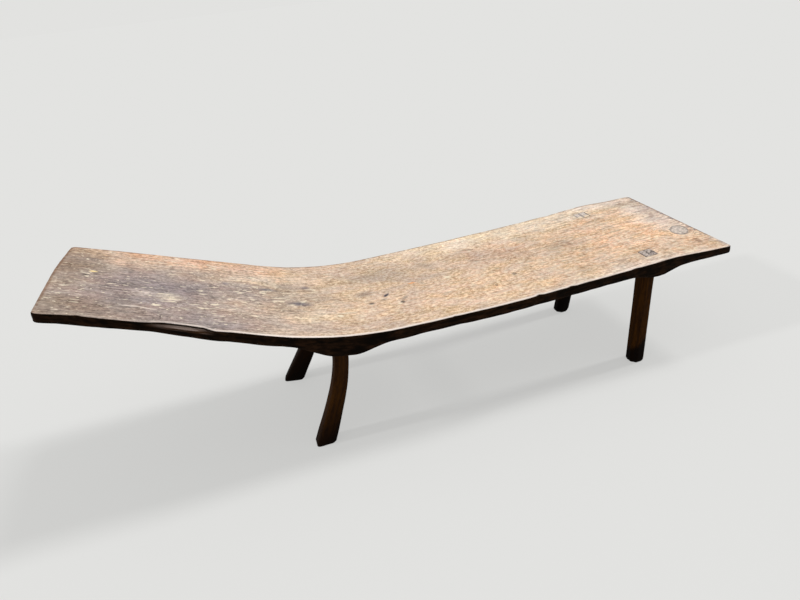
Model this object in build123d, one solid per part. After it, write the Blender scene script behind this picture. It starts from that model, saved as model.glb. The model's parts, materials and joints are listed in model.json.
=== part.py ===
"""Daybed carved from one plank: a flat seat that bends up into a headrest, on four legs.

Millimetres. +X runs to the foot end, +Y to the far side, +Z up, and the origin is on the floor
under the middle of the plank. Each foot leg has a square tenon that goes up through the plank and
is spread by a wedge. Each head leg is kicked out towards the head end and holds by a stub tenon.
"""

from build123d import *
from math import radians, tan
import os

# Plank in plan
LENGTH = 2036.0
WIDTH = 550.0  # across the foot end
BEND_NARROWING = 9.0  # on each side, where the headrest's taper starts
HEAD_NARROWING = 34.0  # on each side, at the head end
TAPER_LENGTH = 600.0  # of the headrest's tapered sides, from the head end
HEAD_CORNER_RADIUS = 20.0
FOOT_CORNER_RADIUS = 12.0

# Top of the plank, seen from the side
SEAT_HEIGHT = 372.0
HEADREST_LENGTH = 719.0  # level distance from the head end to the corner of the bend
HEADREST_ANGLE = 20.6
BEND_RADIUS = 1090.0
CROWN_RISE = 17.0  # of the seat towards the foot end
CROWN_LENGTH = 545.0  # level distance over which it rises
CROWN_FROM_END = 222.0
CROWN_START_RADIUS = 5000.0
CROWN_RADIUS = 2500.0
FOOT_DROP = 8.0  # from the crown down to the foot end

# Underside of the plank, as depths below its top
HEAD_TIP_THICKNESS = 26.0
HEADREST_THICKNESS = 31.0
SEAT_THICKNESS = 32.0
CROWN_THICKNESS = 38.0
FOOT_THICKNESS = 24.0
BEND_BOSS_DEPTH = 43.0
BEND_BOSS_FLAT = (26.0, 62.0)  # level lengths before and after the corner of the bend
BEND_BOSS_SLOPE = 114.0  # level length of its run up to the headrest
BEND_BOSS_STEP = 32.0  # level length of its step up to the seat
FOOT_BOSS_DEPTH = 52.0
FOOT_BOSS_FLAT = (42.0, 26.0)  # level lengths before and after the foot legs' centres
FOOT_BOSS_SLOPE = (92.0, 62.0)  # level lengths of its runs up to the seat and the foot end
UNDERSIDE_RADII = (220.0, 70.0, 40.0, 40.0, 2000.0, 150.0, 90.0, 30.0, 60.0)  # from the head end
EDGE_ROUNDING = 4.0

# Legs
FOOT_LEG_WIDTH = 56.0  # across the flats of its eight sides
FOOT_LEG_FROM_END = 268.0  # from the foot end to the tenon's centre
FOOT_LEG_FROM_SIDE = 81.0
FOOT_LEG_RAKE = {"near": 39.0, "far": 83.0}  # how far the sole stands towards the head end
FOOT_LEG_SPLAY = {"near": 37.0, "far": -8.0}  # how far it stands out to its side
HEAD_LEG_TOP_WIDTH = {"near": 47.0, "far": 54.0}
HEAD_LEG_SOLE_WIDTH = {"near": 67.0, "far": 78.0}
HEAD_LEG_DEPTH = 48.0
HEAD_LEG_PAST_BEND = {"near": 3.0, "far": -14.0}  # how far the top's centre stands towards the head end
HEAD_LEG_FROM_SIDE = {"near": 70.0, "far": 88.0}
HEAD_LEG_KICK = {"near": 94.0, "far": 151.0}  # how far the sole stands towards the head end
HEAD_LEG_FRONT_BOW = 22.0  # of the curve that faces the head end, off a straight line
HEAD_LEG_BACK_BOW = 16.0
HEAD_LEG_CORNER = 9.0
SOLE_CHAMFER = 5.0

# Joints
TENON_WIDTH = 44.0
STUB_LENGTH = 30.0
STUB_WIDTH = 30.0
STUB_HEIGHT = 26.0
WEDGE_THICKNESS = 6.0
WEDGE_POINT = 1.0
WEDGE_DEPTH = 34.0
FOOT_HOUSING = 4.0  # least depth of a foot leg's seat in its boss
HEAD_HOUSING = 12.0  # deepest part of a head leg's seat
TENON_CLEARANCE = 0.2
HOUSING_CLEARANCE = 1.0
BEYOND = 300.0  # how far a cutting shape reaches past what it cuts

# Places that follow from the sizes
SIDES = {"near": -1, "far": 1}
HEAD_END = -LENGTH / 2
FOOT_END = LENGTH / 2
BEND_X = HEAD_END + HEADREST_LENGTH
FOOT_LEG_X = FOOT_END - FOOT_LEG_FROM_END
SLOPE = tan(radians(HEADREST_ANGLE))
HEAD_HEIGHT = SEAT_HEIGHT + HEADREST_LENGTH * SLOPE
CROWN_HEIGHT = SEAT_HEIGHT + CROWN_RISE
END_HEIGHT = CROWN_HEIGHT - FOOT_DROP
BEND_BOSS_Z = SEAT_HEIGHT - BEND_BOSS_DEPTH
FOOT_BOSS_Z = CROWN_HEIGHT - FOOT_BOSS_DEPTH
HEAD_LEG_SEAT = BEND_BOSS_Z + HEAD_HOUSING
FOOT_LEG_SEAT = FOOT_BOSS_Z + FOOT_HOUSING


def side_profile():
    """The plank from the side, its top and underside drawn as runs joined by tangent arcs."""
    crown_x = FOOT_END - CROWN_FROM_END
    top = [
        (HEAD_END, HEAD_HEIGHT),
        (BEND_X, SEAT_HEIGHT),
        (crown_x - CROWN_LENGTH, SEAT_HEIGHT),
        (crown_x, CROWN_HEIGHT),
        (FOOT_END, END_HEIGHT),
    ]
    boss_start = BEND_X - BEND_BOSS_FLAT[0]
    boss_end = BEND_X + BEND_BOSS_FLAT[1]
    slope_start = boss_start - BEND_BOSS_SLOPE
    foot_start = FOOT_LEG_X - FOOT_BOSS_FLAT[0]
    foot_end = FOOT_LEG_X + FOOT_BOSS_FLAT[1]
    underside = [
        (HEAD_END, HEAD_HEIGHT - HEAD_TIP_THICKNESS),
        (slope_start, SEAT_HEIGHT + (BEND_X - slope_start) * SLOPE - HEADREST_THICKNESS),
        (boss_start, BEND_BOSS_Z),
        (boss_end, BEND_BOSS_Z),
        (boss_end + BEND_BOSS_STEP, SEAT_HEIGHT - SEAT_THICKNESS),
        (crown_x - CROWN_LENGTH, SEAT_HEIGHT - SEAT_THICKNESS),
        (foot_start - FOOT_BOSS_SLOPE[0], CROWN_HEIGHT - CROWN_THICKNESS),
        (foot_start, FOOT_BOSS_Z),
        (foot_end, FOOT_BOSS_Z),
        (foot_end + FOOT_BOSS_SLOPE[1], END_HEIGHT - FOOT_THICKNESS),
        (FOOT_END, END_HEIGHT - FOOT_THICKNESS),
    ]
    with BuildSketch(Plane.XZ) as profile:
        with BuildLine():
            FilletPolyline(top, radius=[BEND_RADIUS, CROWN_START_RADIUS, CROWN_RADIUS])
            FilletPolyline(underside, radius=UNDERSIDE_RADII)
            Line(top[0], underside[0])
            Line(top[-1], underside[-1])
        make_face()
    return profile.sketch


def plan_outline():
    """The plank from above: it narrows slowly up to the bend, then faster to the head end."""
    half_foot = WIDTH / 2
    taper_start = HEAD_END + TAPER_LENGTH
    far_side = [
        (HEAD_END, half_foot - HEAD_NARROWING),
        (taper_start, half_foot - BEND_NARROWING),
        (FOOT_END, half_foot),
    ]
    near_side = [(x, -y) for x, y in reversed(far_side)]
    with BuildSketch() as plan:
        with BuildLine():
            Polyline(far_side + near_side, close=True)
        make_face()
        fillet(plan.vertices().group_by(Axis.X)[0], HEAD_CORNER_RADIUS)
        fillet(plan.vertices().group_by(Axis.X)[-1], FOOT_CORNER_RADIUS)
    return plan.sketch


def plank_blank():
    """The carved plank with worn edges, before any joint is cut in it."""
    carved = extrude(side_profile(), amount=WIDTH, both=True)
    carved &= extrude(plan_outline(), amount=HEAD_HEIGHT + BEYOND)
    walls = carved.faces().filter_by(lambda face: abs(face.normal_at().Z) < 0.1)
    rims = [edge for edge in walls.edges() if abs((edge % 0.5).Z) < 0.9]
    return fillet(rims, EDGE_ROUNDING)


def slab(low, high):
    """Everything between two heights, wider and longer than the daybed."""
    return Pos(0, 0, low) * Box(
        2 * LENGTH, 2 * WIDTH, high - low, align=(Align.CENTER, Align.CENTER, Align.MIN)
    )


def foot_leg_ends(side):
    """The centres of a foot leg's sole and of its tenon's end."""
    out = SIDES[side]
    tenon = Vector(FOOT_LEG_X, out * (WIDTH / 2 - FOOT_LEG_FROM_SIDE), CROWN_HEIGHT)
    sole = Vector(tenon.X - FOOT_LEG_RAKE[side], tenon.Y + out * FOOT_LEG_SPLAY[side], 0)
    return sole, tenon


def plane_across_leg(side, origin):
    """The plane through a point, square to a foot leg's axis."""
    sole, tenon = foot_leg_ends(side)
    return Plane(origin=origin, x_dir=(1, 0, 0), z_dir=tenon - sole)


def leg_bar(side, section):
    """A bar of the given section along a foot leg's axis, from below the floor to above the plank."""
    placed = plane_across_leg(side, foot_leg_ends(side)[0]) * section
    return extrude(placed, amount=CROWN_HEIGHT + BEYOND) + extrude(placed, amount=-BEYOND)


def octagon(width):
    return RegularPolygon(width / 2, 8, major_radius=False, rotation=22.5)


def wedge_bar(side):
    """The tapered space of a tenon's saw cut, across the tenon and on past its end."""
    end = foot_leg_ends(side)[1]
    across = plane_across_leg(side, end)
    point = WEDGE_POINT / 2
    top = WEDGE_THICKNESS - point
    outline = [(-point, -WEDGE_DEPTH), (point, -WEDGE_DEPTH), (top, WEDGE_DEPTH), (-top, WEDGE_DEPTH)]
    section = Plane(origin=end, x_dir=across.x_dir, z_dir=-across.y_dir) * Polygon(outline, align=None)
    return extrude(section, amount=TENON_WIDTH / 2, both=True)


def foot_leg(side, blank):
    """An eight-sided leg, cut level at its seat, with a square tenon flush with the plank's top."""
    shaft = leg_bar(side, octagon(FOOT_LEG_WIDTH)) & slab(0, FOOT_LEG_SEAT)
    shaft = chamfer(shaft.faces().sort_by(Axis.Z)[0].edges(), SOLE_CHAMFER)
    tenon = leg_bar(side, Rectangle(TENON_WIDTH, TENON_WIDTH)) & slab(FOOT_LEG_SEAT, HEAD_HEIGHT)
    return shaft + (tenon & blank) - wedge_bar(side)


def foot_joint(side):
    """What a foot leg needs cut out of the plank: a housing for its top and a through mortise."""
    housing = leg_bar(side, octagon(FOOT_LEG_WIDTH + 2 * HOUSING_CLEARANCE))
    width = TENON_WIDTH + 2 * TENON_CLEARANCE
    return (housing & slab(0, FOOT_LEG_SEAT)) + leg_bar(side, Rectangle(width, width))


def head_leg_top(side):
    """The centre of a head leg's top, at its seat."""
    y = SIDES[side] * (WIDTH / 2 - HEAD_LEG_FROM_SIDE[side])
    return Vector(BEND_X - HEAD_LEG_PAST_BEND[side], y, HEAD_LEG_SEAT)


def head_leg_shaft(side, grow=0.0):
    """A leg that curves out towards the head end, or its housing where it is grown all round."""
    top = head_leg_top(side)
    half_top = HEAD_LEG_TOP_WIDTH[side] / 2 + grow
    half_sole = HEAD_LEG_SOLE_WIDTH[side] / 2 + grow
    sole_x = top.X - HEAD_LEG_KICK[side]
    front = [(sole_x - half_sole, 0), (top.X - half_top, HEAD_LEG_SEAT)]
    back = [(sole_x + half_sole, 0), (top.X + half_top, HEAD_LEG_SEAT)]
    with BuildSketch(Plane.XZ.offset(-top.Y)) as profile:
        with BuildLine():
            SagittaArc(front[0], front[1], -HEAD_LEG_FRONT_BOW)
            SagittaArc(back[0], back[1], -HEAD_LEG_BACK_BOW)
            Line(front[0], back[0])
            Line(front[1], back[1])
        make_face()
    shaft = extrude(profile.sketch, amount=HEAD_LEG_DEPTH / 2 + grow, both=True)
    return fillet(shaft.edges().filter_by(GeomType.CIRCLE), HEAD_LEG_CORNER)


def stub(side, grow=0.0):
    """A head leg's stub tenon, or its mortise where it is grown all round."""
    top = head_leg_top(side)
    size = (STUB_LENGTH + 2 * grow, STUB_WIDTH + 2 * grow, STUB_HEIGHT + grow)
    return Pos(top) * Box(*size, align=(Align.CENTER, Align.CENTER, Align.MIN))


def head_leg(side):
    shaft = head_leg_shaft(side)
    shaft = chamfer(shaft.faces().sort_by(Axis.Z)[0].edges(), SOLE_CHAMFER)
    return shaft + stub(side)


def head_joint(side):
    """What a head leg needs cut out of the plank: a housing for its top and a blind mortise."""
    return head_leg_shaft(side, HOUSING_CLEARANCE) + stub(side, TENON_CLEARANCE)


def daybed():
    """Every piece by name, each where it sits in the finished daybed."""
    blank = plank_blank()
    plank = blank
    pieces = {}
    for side in SIDES:
        plank = plank - foot_joint(side) - head_joint(side)
        pieces[f"foot_leg_{side}"] = foot_leg(side, blank)
        pieces[f"foot_wedge_{side}"] = wedge_bar(side) & blank
        pieces[f"head_leg_{side}"] = head_leg(side)
    pieces["bed_plank"] = plank
    return pieces


os.makedirs("parts", exist_ok=True)
for name, piece in daybed().items():
    export_step(piece, f"parts/{name}.step")
    print(name, round(piece.volume), [round(float(size), 1) for size in piece.bounding_box().size])
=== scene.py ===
"""The looks of a daybed carved from one plank, on four legs.

Metres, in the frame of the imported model: +X runs to the foot end, +Y to the far side, +Z up, and
the origin is on the floor under the middle of the plank. The plank is shaped as a fine block, whose
points move to where the adze and years of wear left them.
"""

import json
from math import cos, pi, radians, tan

import bmesh
import bpy
import numpy as np
from bpy.props import FloatProperty, FloatVectorProperty, PointerProperty
from mathutils import Matrix, Vector, noise


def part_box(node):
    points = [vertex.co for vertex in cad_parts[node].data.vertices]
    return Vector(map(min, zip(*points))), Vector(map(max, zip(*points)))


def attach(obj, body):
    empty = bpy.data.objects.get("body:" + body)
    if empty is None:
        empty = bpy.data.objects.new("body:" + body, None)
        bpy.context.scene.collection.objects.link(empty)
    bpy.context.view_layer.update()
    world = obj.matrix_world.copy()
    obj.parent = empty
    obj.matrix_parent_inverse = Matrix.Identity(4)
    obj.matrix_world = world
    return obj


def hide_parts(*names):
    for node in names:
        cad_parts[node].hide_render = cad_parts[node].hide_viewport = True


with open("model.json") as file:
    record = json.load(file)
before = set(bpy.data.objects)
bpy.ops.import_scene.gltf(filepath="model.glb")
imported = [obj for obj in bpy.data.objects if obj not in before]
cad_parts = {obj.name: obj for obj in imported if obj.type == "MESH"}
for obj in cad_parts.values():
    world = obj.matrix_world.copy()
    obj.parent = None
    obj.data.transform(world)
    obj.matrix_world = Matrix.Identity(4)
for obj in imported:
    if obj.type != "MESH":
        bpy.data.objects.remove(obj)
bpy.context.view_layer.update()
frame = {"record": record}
PLANK_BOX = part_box("bed_plank")
SIDES = {"near": -1, "far": 1}
MOUNTS = frame["record"]["mounts"]
SOLES = {mount["name"].removesuffix("_sole"): Vector(mount["pos_m"]) for mount in MOUNTS}

bl_info = {
    "name": "Carved daybed",
    "version": (1, 0, 0),
    "blender": (4, 5, 0),
    "location": "3D View > Sidebar > Daybed",
    "description": "Builds a hewn plank daybed on four legs around its packed frame",
    "category": "Add Mesh",
}

# The plank's lines, as level distances from its foot end and heights above the seat
CROWN = ((0.820, 0.0), (0.500, 0.006), (0.360, 0.0095), (0.225, 0.017), (0.100, 0.0115), (0.0, 0.0095))
CROWN_BLEND = 0.03
# The plank's thickness, as level distances from its head end and depths below its top
THICKNESS = (
    (0.0, 0.0270),
    (0.105, 0.0302),
    (0.22, 0.0268),
    (0.34, 0.0312),
    (0.51, 0.0330),
    (0.88, 0.0365),
    (0.95, 0.0340),
    (1.02, 0.0322),
    (1.36, 0.0325),
    (1.90, 0.0315),
    (1.99, 0.0262),
    (2.036, 0.0235),
)
THICKNESS_BLEND = 0.03

# The swellings under the plank, as level distances from the head end: rise, flat, fall, and depth
BEND_BOSS = (0.576, 0.691, 0.745, 0.865, 0.0315)
FOOT_BOSS = (1.653, 1.768, 1.785, 1.890, 0.0205)
FOOT_BOSS_FALL = 1.5  # how hollow its fall is, where 1 is straight

# Corners of the outline, as radii
CORNERS = {("head", "near"): 0.011, ("head", "far"): 0.016, ("foot", "near"): 0.010, ("foot", "far"): 0.014}

# How far the head end's far corner draws in, how far along and across the plank that reaches, and
# how late it sets in, where 1 is a straight line
HEAD_INSET = (0.014, 0.12, 0.24, 1.6)
# How far the head end's lower edge stands out below the top, and how far along that reaches
HEAD_LEAN = (0.004, 0.02)

TWIST_MIDDLE = 0.05  # the place along the plank where it is level across
NEAR_TAPER_START = -0.2  # the place along the plank where its near edge starts to draw in
# How late each edge bends away from a straight line, where 1 is a straight taper
NEAR_TAPER, FAR_TAPER, FAR_FLARE = 1.6, 1.75, 2.2
# How far the near edge stands in from that taper, by place along the plank
NEAR_EDGE = (
    (-1.018, 0.0),
    (-0.935, 0.012),
    (-0.752, 0.0125),
    (-0.625, 0.002),
    (-0.580, 0.006),
    (-0.520, 0.004),
    (-0.355, 0.0075),
    (-0.220, 0.007),
    (-0.060, 0.002),
    (0.170, -0.005),
    (0.280, -0.004),
    (0.420, 0.000),
    (0.540, 0.002),
    (0.750, 0.003),
    (0.880, 0.004),
    (1.018, 0.001),
)
EDGE_BLEND = 0.015

# Dents in the plank's top edges: side, place along, half length and depth
EDGE_DENTS = (
    ("near", -0.928, 0.012, 0.0035),
    ("near", 0.040, 0.008, 0.0030),
    ("near", 0.313, 0.016, 0.0045),
    ("near", 0.424, 0.014, 0.0045),
    ("near", 0.655, 0.020, 0.0030),
    ("far", 0.640, 0.022, 0.0040),
    ("far", 0.520, 0.012, 0.0020),
)
# A long chip split off the near edge of the headrest, by place along the plank and share of the wall
SPLIT_ENDS = ((-0.800, -0.722), (-0.655, -0.617))  # from nothing to full depth, and back
SPLIT_DEPTH = 0.013
SPLIT_LEDGE = (0.56, 0.86)
SPLIT_UNDERCUT = (0.86, 0.92, 1.0)
UNDERCUT_DEPTH = 0.004
BARED_BAND = ((0.55, 0.68), (0.84, 0.90))  # where up the wall the split's bare fibres start and stop
BARED_STRIP = -0.2  # and how far over to the near side they start

# Waves left by wear: height, reach and seed; and the adze's hollows: depth, length, width and seed
TOP_WAVES, TOP_HOLLOWS = (0.0011, (0.30, 0.14, 1.0), 1), (0.0006, 0.075, 0.040, 2)
BASE_WAVES, BASE_HOLLOWS = (0.0010, 0.12, 6), (0.0016, 0.060, 0.042, 5)
# Lumps of the outline, of the walls and of the rounding of the edges: size, reach and seed
OUTLINE_LUMPS = (0.0009, (0.05, 1.0, 1.0), 8)
WALL_LUMPS = (0.0012, 0.03, 13)
ARRIS_LUMPS, LOWER_ARRIS_LUMPS = (0.5, 0.035, 11), (0.3, 0.05, 12)
WALL_BULGE = 0.003

PLANK_FACES = (360, 84, 14)  # along, across and up the plank
CROWDING = 1.35  # how much they crowd towards its edges, where 1 is evenly
ON_WALL = 0.999  # a point of a block lies on its wall from this share of its half length or width on
CAP_RINGS = (0.12, 0.25, 0.3)  # widths of the rings of faces at a leg's ends
CREASE = radians(38)  # an edge that turns more than this stays sharp

SEED_STEP = 7.31  # how far apart the noises of two seeds lie, in reaches
# An adze's hollows: how far apart two seeds' lie, how far their grid sways, the reach of that, and
# how steep the ridges are
DISH_STEP, DISH_SWAY, DISH_REACH, DISH_RIDGE = 3.7, 0.35, 0.09, 1.6
DISH_LEVEL = 0.4  # the hollows' mean


def tone(red, green, blue):
    """A colour from the usual 0 to 255 scale, as Blender's linear light."""
    shares = (red / 255, green / 255, blue / 255)
    return tuple(v / 12.92 if v < 0.039 else ((v + 0.055) / 1.055) ** 2.4 for v in shares)


def size_property(name, description, default):
    """A length that a user may change, in metres."""
    shown = {"name": name, "description": description, "precision": 4}
    return FloatProperty(default=default, min=0.0, unit="LENGTH", **shown)


def colour_property(name, description, red, green, blue):
    """A colour that a user may change."""
    shown = {"name": name, "description": description, "subtype": "COLOR"}
    return FloatVectorProperty(default=tone(red, green, blue), size=3, min=0.0, max=1.0, **shown)


class DaybedSizes(bpy.types.PropertyGroup):
    """Sizes of the plank and the legs"""

    seat_height: size_property("Seat height", "Height of the flat seat's top", 0.372)
    headrest_length: size_property("Headrest length", "Level distance from the head end to the bend", 0.719)
    headrest_angle: FloatProperty(
        name="Headrest angle", description="Slope of the headrest", default=radians(20.6), subtype="ANGLE"
    )
    bend_radius: size_property("Bend radius", "Radius of the bend between headrest and seat", 1.09)
    twist: size_property("Twist", "Rise of the far edge over the middle, for each metre along", 0.0042)
    near_half_width: size_property("Near half width", "From the middle to the near edge of the seat", 0.270)
    near_narrowing: size_property("Near narrowing", "How much the near edge draws in by the head end", 0.031)
    far_half_width: size_property("Far half width", "From the middle to the far edge of the seat", 0.267)
    far_narrowing: size_property("Far narrowing", "How much the far edge draws in by the head end", 0.027)
    far_flare: size_property("Far flare", "How much the far edge stands out by the foot end", 0.015)
    arris: size_property("Arris", "Rounding of the plank's top edges", 0.0018)
    lower_arris: size_property("Lower arris", "Rounding of the plank's lower edges", 0.003)
    foot_leg_width: size_property("Foot leg width", "Across the flats of a foot leg's eight sides", 0.056)
    tenon_width: size_property("Tenon width", "Side of the square tenon on a foot leg", 0.044)
    seat_of_foot_leg: size_property("Foot leg seat", "Height at which a foot leg's tenon starts", 0.341)
    seat_of_head_leg: size_property("Head leg seat", "Height at which a head leg's stub starts", 0.341)
    head_leg_depth: size_property("Head leg depth", "Size of a head leg across the plank", 0.048)
    head_leg_front_bow: size_property("Head leg front bow", "Bow of the side towards the head end", 0.022)
    head_leg_back_bow: size_property("Head leg back bow", "Bow of the side towards the foot end", 0.016)


class DaybedColours(bpy.types.PropertyGroup):
    """Colours of the woods and of what surrounds the daybed"""

    tan: colour_property("Tan", "Worn wood of the seat", 214, 187, 160)
    cream: colour_property("Cream", "Bleached wood along the far edge", 238, 217, 190)
    peach: colour_property("Peach", "Warm wood of the foot end", 238, 201, 168)
    honey: colour_property("Honey", "Warm band along the far edge of the headrest", 226, 184, 153)
    umber: colour_property("Umber", "Soiled wood of the headrest", 176, 157, 147)
    plum: colour_property("Plum", "Darkest, purplish patch of the headrest", 149, 138, 138)
    olive: colour_property("Olive", "Greenish brown of the head end", 136, 119, 104)
    ash: colour_property("Ash", "Grey smudges", 146, 136, 126)
    rust: colour_property("Rust", "Orange flecks", 238, 172, 118)
    yellow: colour_property("Yellow", "Yellow chips", 240, 214, 156)
    bleached: colour_property("Bleached", "Pinkish white wood, worn bare", 238, 222, 209)
    fleck: colour_property("Fleck", "Pale flecks and worn edges", 243, 230, 205)
    pit: colour_property("Pit", "Small dark pits and growth lines", 122, 92, 72)
    check: colour_property("Check", "Cracks and nail holes", 62, 54, 54)
    patina: colour_property("Patina", "Nearly black sides and underside", 10, 6, 3)
    patina_streak: colour_property("Patina streak", "Brown streaks in the dark patina", 47, 29, 17)
    split: colour_property("Split", "Fibres bared by a split", 128, 113, 105)
    leg: colour_property("Leg", "Dark wood of the legs", 61, 35, 8)
    leg_streak: colour_property("Leg streak", "Dark streaks along the legs", 34, 17, 6)
    # This colour blackens the legs' feet, and also paints shade onto the far legs, under the plank
    soot: colour_property("Soot", "Black foot of a leg, and wood in the shade of the plank", 6, 4, 3)
    # A pale colour for the rubbed near edge, which also paints the highlight along it, and for the far
    # tenon's end
    bare_edge: colour_property("Bare edge", "Pinkish white edge of the seat, rubbed bare", 240, 227, 216)
    blue: colour_property("Blue", "Grey-blue marks", 112, 108, 115)
    end_grain: colour_property("End grain", "Grey ends of the tenons", 214, 200, 190)
    end_pore: colour_property("End pore", "Dark pores and outline of a tenon's end", 104, 94, 90)
    floor: colour_property("Floor", "Floor and backdrop", 226, 226, 224)


def ease(value, start, end):
    """0 before start, 1 after end, and smooth between them."""
    share = np.clip((value - start) / (end - start), 0.0, 1.0)
    return share * share * (3 - 2 * share)


def rounded_line(along, points, reach):
    """A line through a few points, its corners blended over a reach to each side."""
    places, heights = zip(*sorted(points))
    steps = np.linspace(-1.0, 1.0, 9)
    return np.mean([np.interp(along + reach * step, places, heights) for step in steps], axis=0)


def rough(x, y, z, reach, seed):
    """Smooth noise between about -1 and 1, its lumps about one reach across."""
    spots = np.column_stack(np.broadcast_arrays(x, y, z)) / reach + SEED_STEP * seed
    return np.array([noise.noise(Vector(spot)) for spot in spots])


def lumps(x, y, z, kind):
    """Smooth lumps of one kind: their size, reach and seed."""
    size, reach, seed = kind
    return size * rough(x, y, z, reach, seed)


def dished(x, y, length, width, seed):
    """The hollows that an adze leaves side by side: 0 at their middles and 1 on the ridges between."""
    spots = np.column_stack([x / length, y / width, np.full_like(x, DISH_STEP * seed)])
    spots[:, 0] += DISH_SWAY * rough(x, y, 0.0, DISH_REACH, seed + 1)
    nearest = np.array([noise.voronoi(Vector(spot))[0][0] for spot in spots])
    return np.minimum(nearest * nearest * DISH_RIDGE, 1.0)


def rounded_edge(distance, radius):
    """How far a rounded edge falls away at a distance from its rim."""
    inside = np.clip(radius - distance, 0.0, radius)
    return radius - np.sqrt(np.maximum(radius**2 - inside**2, 0.0))


def crowded(share):
    """A share from -1 to 1, moved towards the end that it is near."""
    return np.sign(share) * (1 - (1 - np.abs(share)) ** CROWDING)


class PlankShape:
    """The plank's lines as functions of a place along it, x, and across it, y."""

    def __init__(self, sizes):
        self.sizes = sizes
        self.head, self.foot = PLANK_BOX[0].x, PLANK_BOX[1].x
        self.bend = self.head + sizes.headrest_length
        self.slope = tan(sizes.headrest_angle)
        tangent = sizes.bend_radius * tan(sizes.headrest_angle / 2)
        self.arc_start = self.bend - tangent * cos(sizes.headrest_angle)
        self.arc_end = self.bend + tangent

    def into_bend(self, x):
        """How far back a place is from the end of the bend that meets the seat."""
        return np.clip(self.arc_end - x, 0.0, self.arc_end - self.arc_start)

    def line(self, x):
        """Height of the top along the middle of the plank."""
        sizes, run = self.sizes, self.into_bend(x)
        arc = sizes.bend_radius - np.sqrt(sizes.bend_radius**2 - run**2)
        height = np.where(x < self.arc_start, (self.bend - x) * self.slope, arc)
        return sizes.seat_height + height + rounded_line(self.foot - x, CROWN, CROWN_BLEND)

    def along(self, x):
        """Distance along the bent top, which the grain of the wood follows."""
        sizes = self.sizes
        straight = np.maximum(self.arc_start - x, 0.0) / cos(sizes.headrest_angle)
        bent = sizes.bend_radius * np.arcsin(self.into_bend(x) / sizes.bend_radius)
        return np.maximum(x, self.arc_end) - straight - bent

    def twist(self, x, y):
        """How far the plank's twist raises it."""
        return self.sizes.twist * (x - TWIST_MIDDLE) * y / self.sizes.near_half_width

    def worked(self, x, y, waves, hollows):
        """How far waves and hollows raise a face, which stays level as a whole."""
        deep, length, width, seed = hollows
        return lumps(x, y, 0.0, waves) + deep * (dished(x, y, length, width, seed) - DISH_LEVEL)

    def top(self, x, y):
        """Height of the worn top."""
        return self.line(x) + self.twist(x, y) + self.worked(x, y, TOP_WAVES, TOP_HOLLOWS)

    def thickness(self, x):
        """Depth of the underside below the top."""
        run = x - self.head
        depth = rounded_line(run, THICKNESS, THICKNESS_BLEND)
        rise, flat, fall, end, boss = BEND_BOSS
        depth = depth + boss * ease(run, rise, flat) * (1 - ease(run, fall, end))
        rise, flat, fall, end, boss = FOOT_BOSS
        left = np.clip((end - run) / (end - fall), 0.0, 1.0) ** FOOT_BOSS_FALL
        return depth + boss * ease(run, rise, flat) * left

    def underside(self, x, y):
        """Height of the hewn underside."""
        hewn = self.worked(x, y, BASE_WAVES, BASE_HOLLOWS)
        return self.line(x) + self.twist(x, y) - self.thickness(x) + hewn

    def half_width(self, x, side):
        """From the middle to the edge of one side, corners included."""
        sizes = self.sizes
        if side == "near":
            share = np.clip((NEAR_TAPER_START - x) / (NEAR_TAPER_START - self.head), 0.0, 1.0)
            half = sizes.near_half_width - sizes.near_narrowing * share**NEAR_TAPER
            half = half - rounded_line(x, NEAR_EDGE, EDGE_BLEND)
        else:
            share = np.clip(x / self.head, 0.0, 1.0)
            flare = np.clip(x / self.foot, 0.0, 1.0) ** FAR_FLARE
            half = sizes.far_half_width - sizes.far_narrowing * share**FAR_TAPER + sizes.far_flare * flare
        half = half + lumps(x, SIDES[side], 0.0, OUTLINE_LUMPS)
        for end, distance in (("head", x - self.head), ("foot", self.foot - x)):
            half = half - rounded_edge(distance, CORNERS[end, side])
        return half

    def head_inset(self, x, y):
        """How far the head end's far half draws in, fading out along the plank."""
        deep, along, across, late = HEAD_INSET
        share = np.clip(y / across, 0.0, 1.1)
        return deep * share**late * np.clip(1 - (x - self.head) / along, 0.0, 1.0)

    def head_lean(self, x, share):
        """How far the head end's wall stands out, by share of its height."""
        deep, along = HEAD_LEAN
        return deep * (1 - share) * np.clip(1 - (x - self.head) / along, 0.0, 1.0)

    def dent(self, x, side):
        """How far dents and the split set the top edge back from the wall below it."""
        depth = np.zeros_like(x)
        for dent_side, place, half, deep in EDGE_DENTS:
            if dent_side == side:
                depth = depth + deep * (1 - ease(np.abs(x - place), 0.0, half))
        if side == "near":
            depth = depth + self.split(x) * SPLIT_DEPTH
        return depth

    def split(self, x):
        """1 where the split is deepest, 0 beyond its ends."""
        rise, fall = SPLIT_ENDS
        return ease(x, *rise) * (1 - ease(x, *fall))

    def undercut(self, x, share):
        """How far the split eats into the near wall below the top edge, by share of its height."""
        low, middle, high = SPLIT_UNDERCUT
        band = ease(share, low, middle) * (1 - ease(share, middle, high))
        return UNDERCUT_DEPTH * band * self.split(x)


def new_block(along, across, rows):
    """A block from -1 to 1 each way and from 0 to 1 high, in fine faces."""
    bm = bmesh.new()
    bmesh.ops.create_grid(bm, x_segments=along, y_segments=across, size=1.0)
    raised = bmesh.ops.extrude_face_region(bm, geom=bm.faces[:])["geom"]
    bmesh.ops.translate(bm, verts=[v for v in raised if isinstance(v, bmesh.types.BMVert)], vec=(0, 0, 1))
    return ladder(bm, rows)


def new_bar(around, rows):
    """A round bar of radius 1, from 0 to 1 high, its ends ringed for shaping."""
    bm = bmesh.new()
    bmesh.ops.create_cone(bm, cap_ends=True, cap_tris=False, segments=around, radius1=1, radius2=1, depth=1)
    bmesh.ops.translate(bm, verts=bm.verts, vec=(0, 0, 0.5))
    for ring in CAP_RINGS:
        ends = [face for face in bm.faces if len(face.verts) > 4]
        bmesh.ops.inset_individual(bm, faces=ends, thickness=ring, use_even_offset=False)
    return ladder(bm, rows)


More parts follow.
